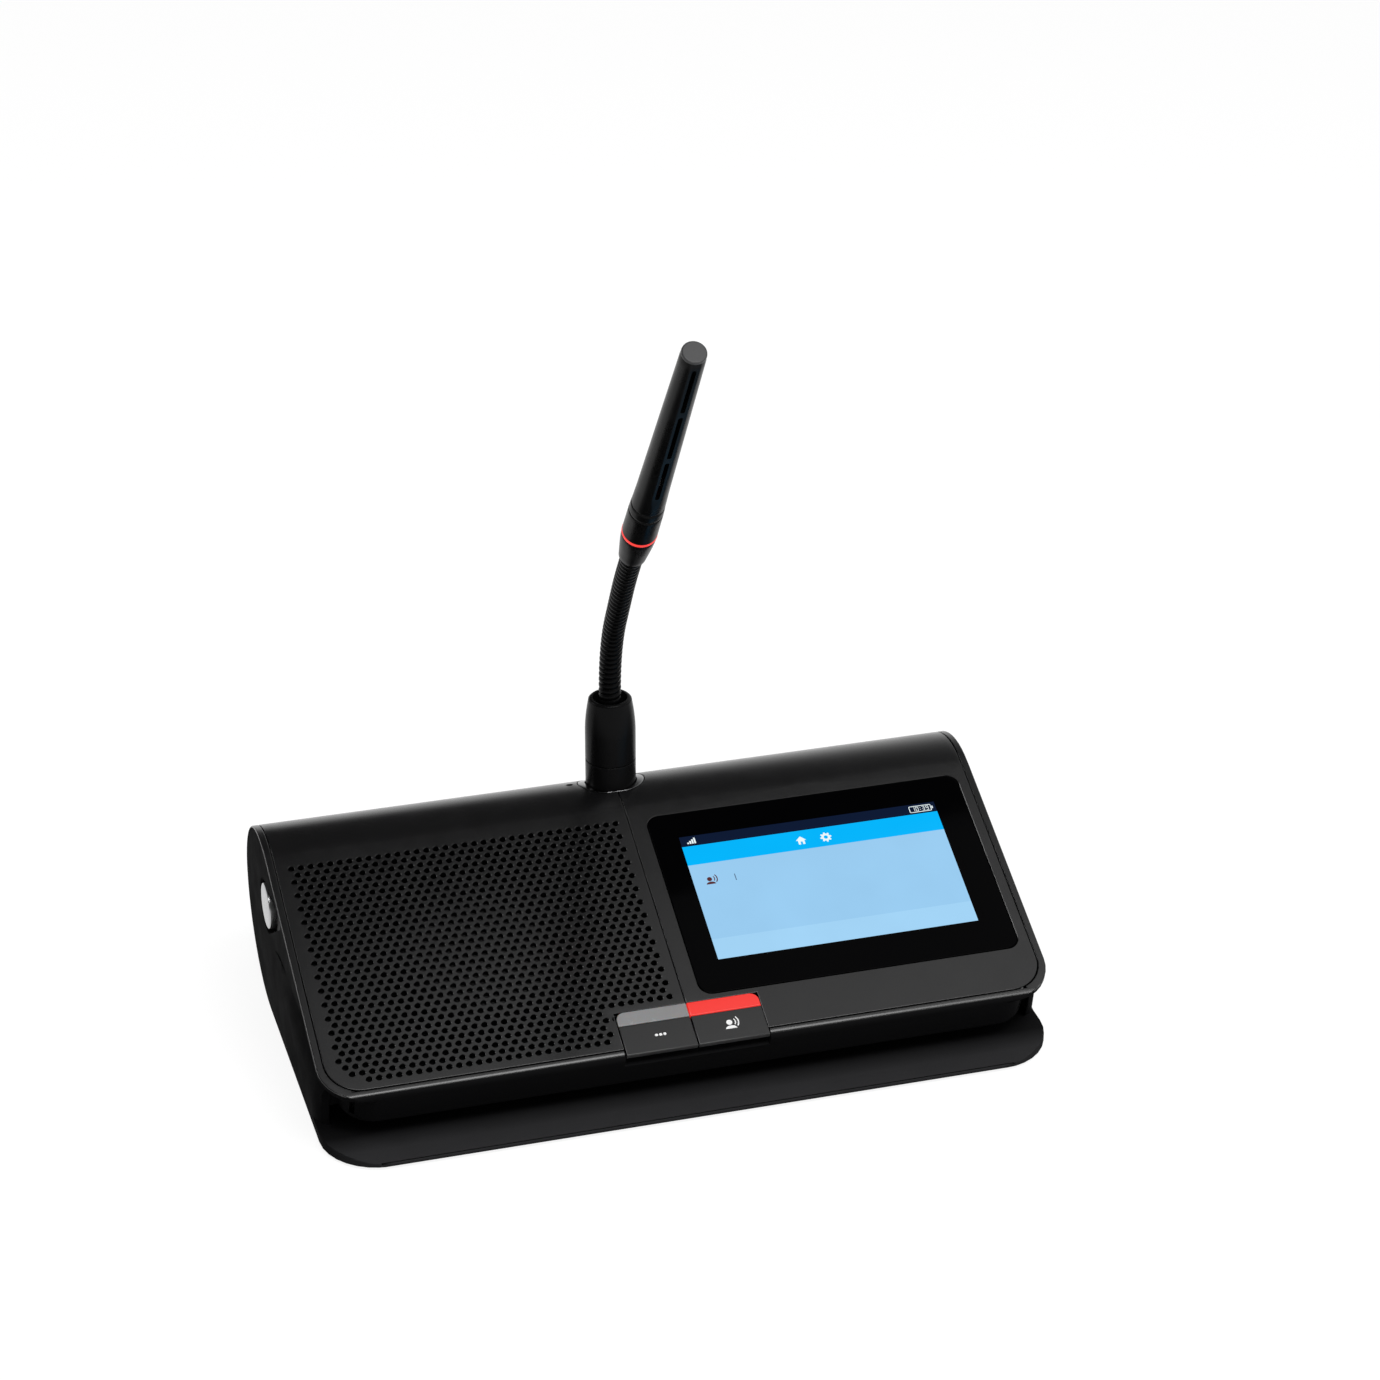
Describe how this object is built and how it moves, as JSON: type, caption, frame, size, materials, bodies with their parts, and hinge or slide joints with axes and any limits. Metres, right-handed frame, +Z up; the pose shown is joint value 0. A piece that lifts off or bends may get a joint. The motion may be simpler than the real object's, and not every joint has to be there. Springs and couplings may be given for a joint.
{
  "type": "conference delegate unit",
  "caption": "Sloped desk console with a perforated loudspeaker panel, a touch screen, lit buttons, volume dials and a plug-in gooseneck microphone.",
  "frame": {"origin": "on the table, under the middle of the unit's footprint", "axes": "+X to the user's right, +Y to the back, +Z up; the panel slopes up towards +Y"},
  "size_m": [0.2594, 0.1446, 0.2782],
  "materials": {
    "housing": "fine satin texture, black",
    "skin": "fine satin texture, black",
    "plate": "black powder coat on steel",
    "glass": "polished black cover glass",
    "display": "lit blue display",
    "board": "green circuit board",
    "basket": "black pressed steel",
    "cone": "black paper cone",
    "magnet": "dark ferrite",
    "socket": "black",
    "bright_trim": "bright satin metal",
    "steel": "plain steel",
    "brass": "plated contacts",
    "rubber": "black rubber",
    "key": "smooth satin black",
    "clear_bar": "translucent smoke grey light bar",
    "red_bar": "translucent bar lit red",
    "dial": "satin silver",
    "battery": "black",
    "mic_metal": "black anodised, satin",
    "gooseneck": "black coated wound steel",
    "red_ring": "translucent ring lit red",
    "end_disc": "dark grey anodised"
  },
  "bodies": {
    "console": {"main_housing": "housing", "bottom_cover": "plate", "speaker_cover": "skin", "screen_cover": "skin", "touch_glass": "glass", "display_module": "display", "main_board": "board", "button_board": "board", "loudspeaker_frame": "basket", "loudspeaker_cone": "cone", "loudspeaker_magnet": "magnet", "mic_socket": "socket", "socket_bezel": "bright_trim", "left_encoder": "steel", "right_encoder": "steel", "battery_contacts": "brass", "left_switch": "socket", "right_switch": "socket", "cover_screw_1": "steel", "cover_screw_2": "steel", "cover_screw_3": "steel", "cover_screw_4": "steel", "foot_1": "rubber", "foot_2": "rubber", "foot_3": "rubber", "foot_4": "rubber"},
    "left_key": {"left_button": "key", "left_light_bar": "clear_bar"},
    "right_key": {"right_button": "key", "right_light_bar": "red_bar"},
    "left_volume": {"left_dial": "dial"},
    "right_volume": {"right_dial": "dial"},
    "battery": {"battery_pack": "battery"},
    "microphone_plug": {"mic_plug": "mic_metal", "mic_shell": "mic_metal", "gooseneck_lower": "gooseneck"},
    "neck_top": {"gooseneck_upper": "gooseneck"},
    "microphone_head": {"mic_collar": "mic_metal", "light_ring": "red_ring", "mic_tube": "mic_metal", "mic_capsule": "steel", "mic_end_cap": "end_disc"}
  },
  "joints": [
    {"name": "left_button_press", "type": "slide", "parent": "console", "child": "left_key", "axis": [0, 0.3907, -0.9205], "range_m": [0, 0.0008], "stiffness_N_per_m": 900},
    {"name": "right_button_press", "type": "slide", "parent": "console", "child": "right_key", "axis": [0, 0.3907, -0.9205], "range_m": [0, 0.0008], "stiffness_N_per_m": 900},
    {"name": "left_volume_turn", "type": "hinge", "parent": "console", "child": "left_volume", "pos_m": [-0.129, 0.0344, 0.04442], "axis": [-1, 0, 0], "continuous": true},
    {"name": "right_volume_turn", "type": "hinge", "parent": "console", "child": "right_volume", "pos_m": [0.129, 0.0344, 0.04442], "axis": [1, 0, 0], "continuous": true},
    {"name": "battery_out", "type": "slide", "parent": "console", "child": "battery", "axis": [0, 1, 0], "range_m": [0, 0.045]},
    {"name": "mic_plug_out", "type": "slide", "parent": "console", "child": "microphone_plug", "axis": [0, 0, 1], "range_m": [0, 0.03]},
    {"name": "neck_bend", "type": "hinge", "parent": "microphone_plug", "child": "neck_top", "pos_m": [0, 0.04675, 0.12011], "axis": [1, 0, 0], "range_deg": [-60, 45], "deforming": ["gooseneck_lower"]},
    {"name": "head_swing", "type": "hinge", "parent": "neck_top", "child": "microphone_head", "pos_m": [0, 0.02729, 0.15717], "axis": [0, 0.8377, 0.5461], "range_deg": [-45, 45], "deforming": ["gooseneck_upper"]}
  ]
}
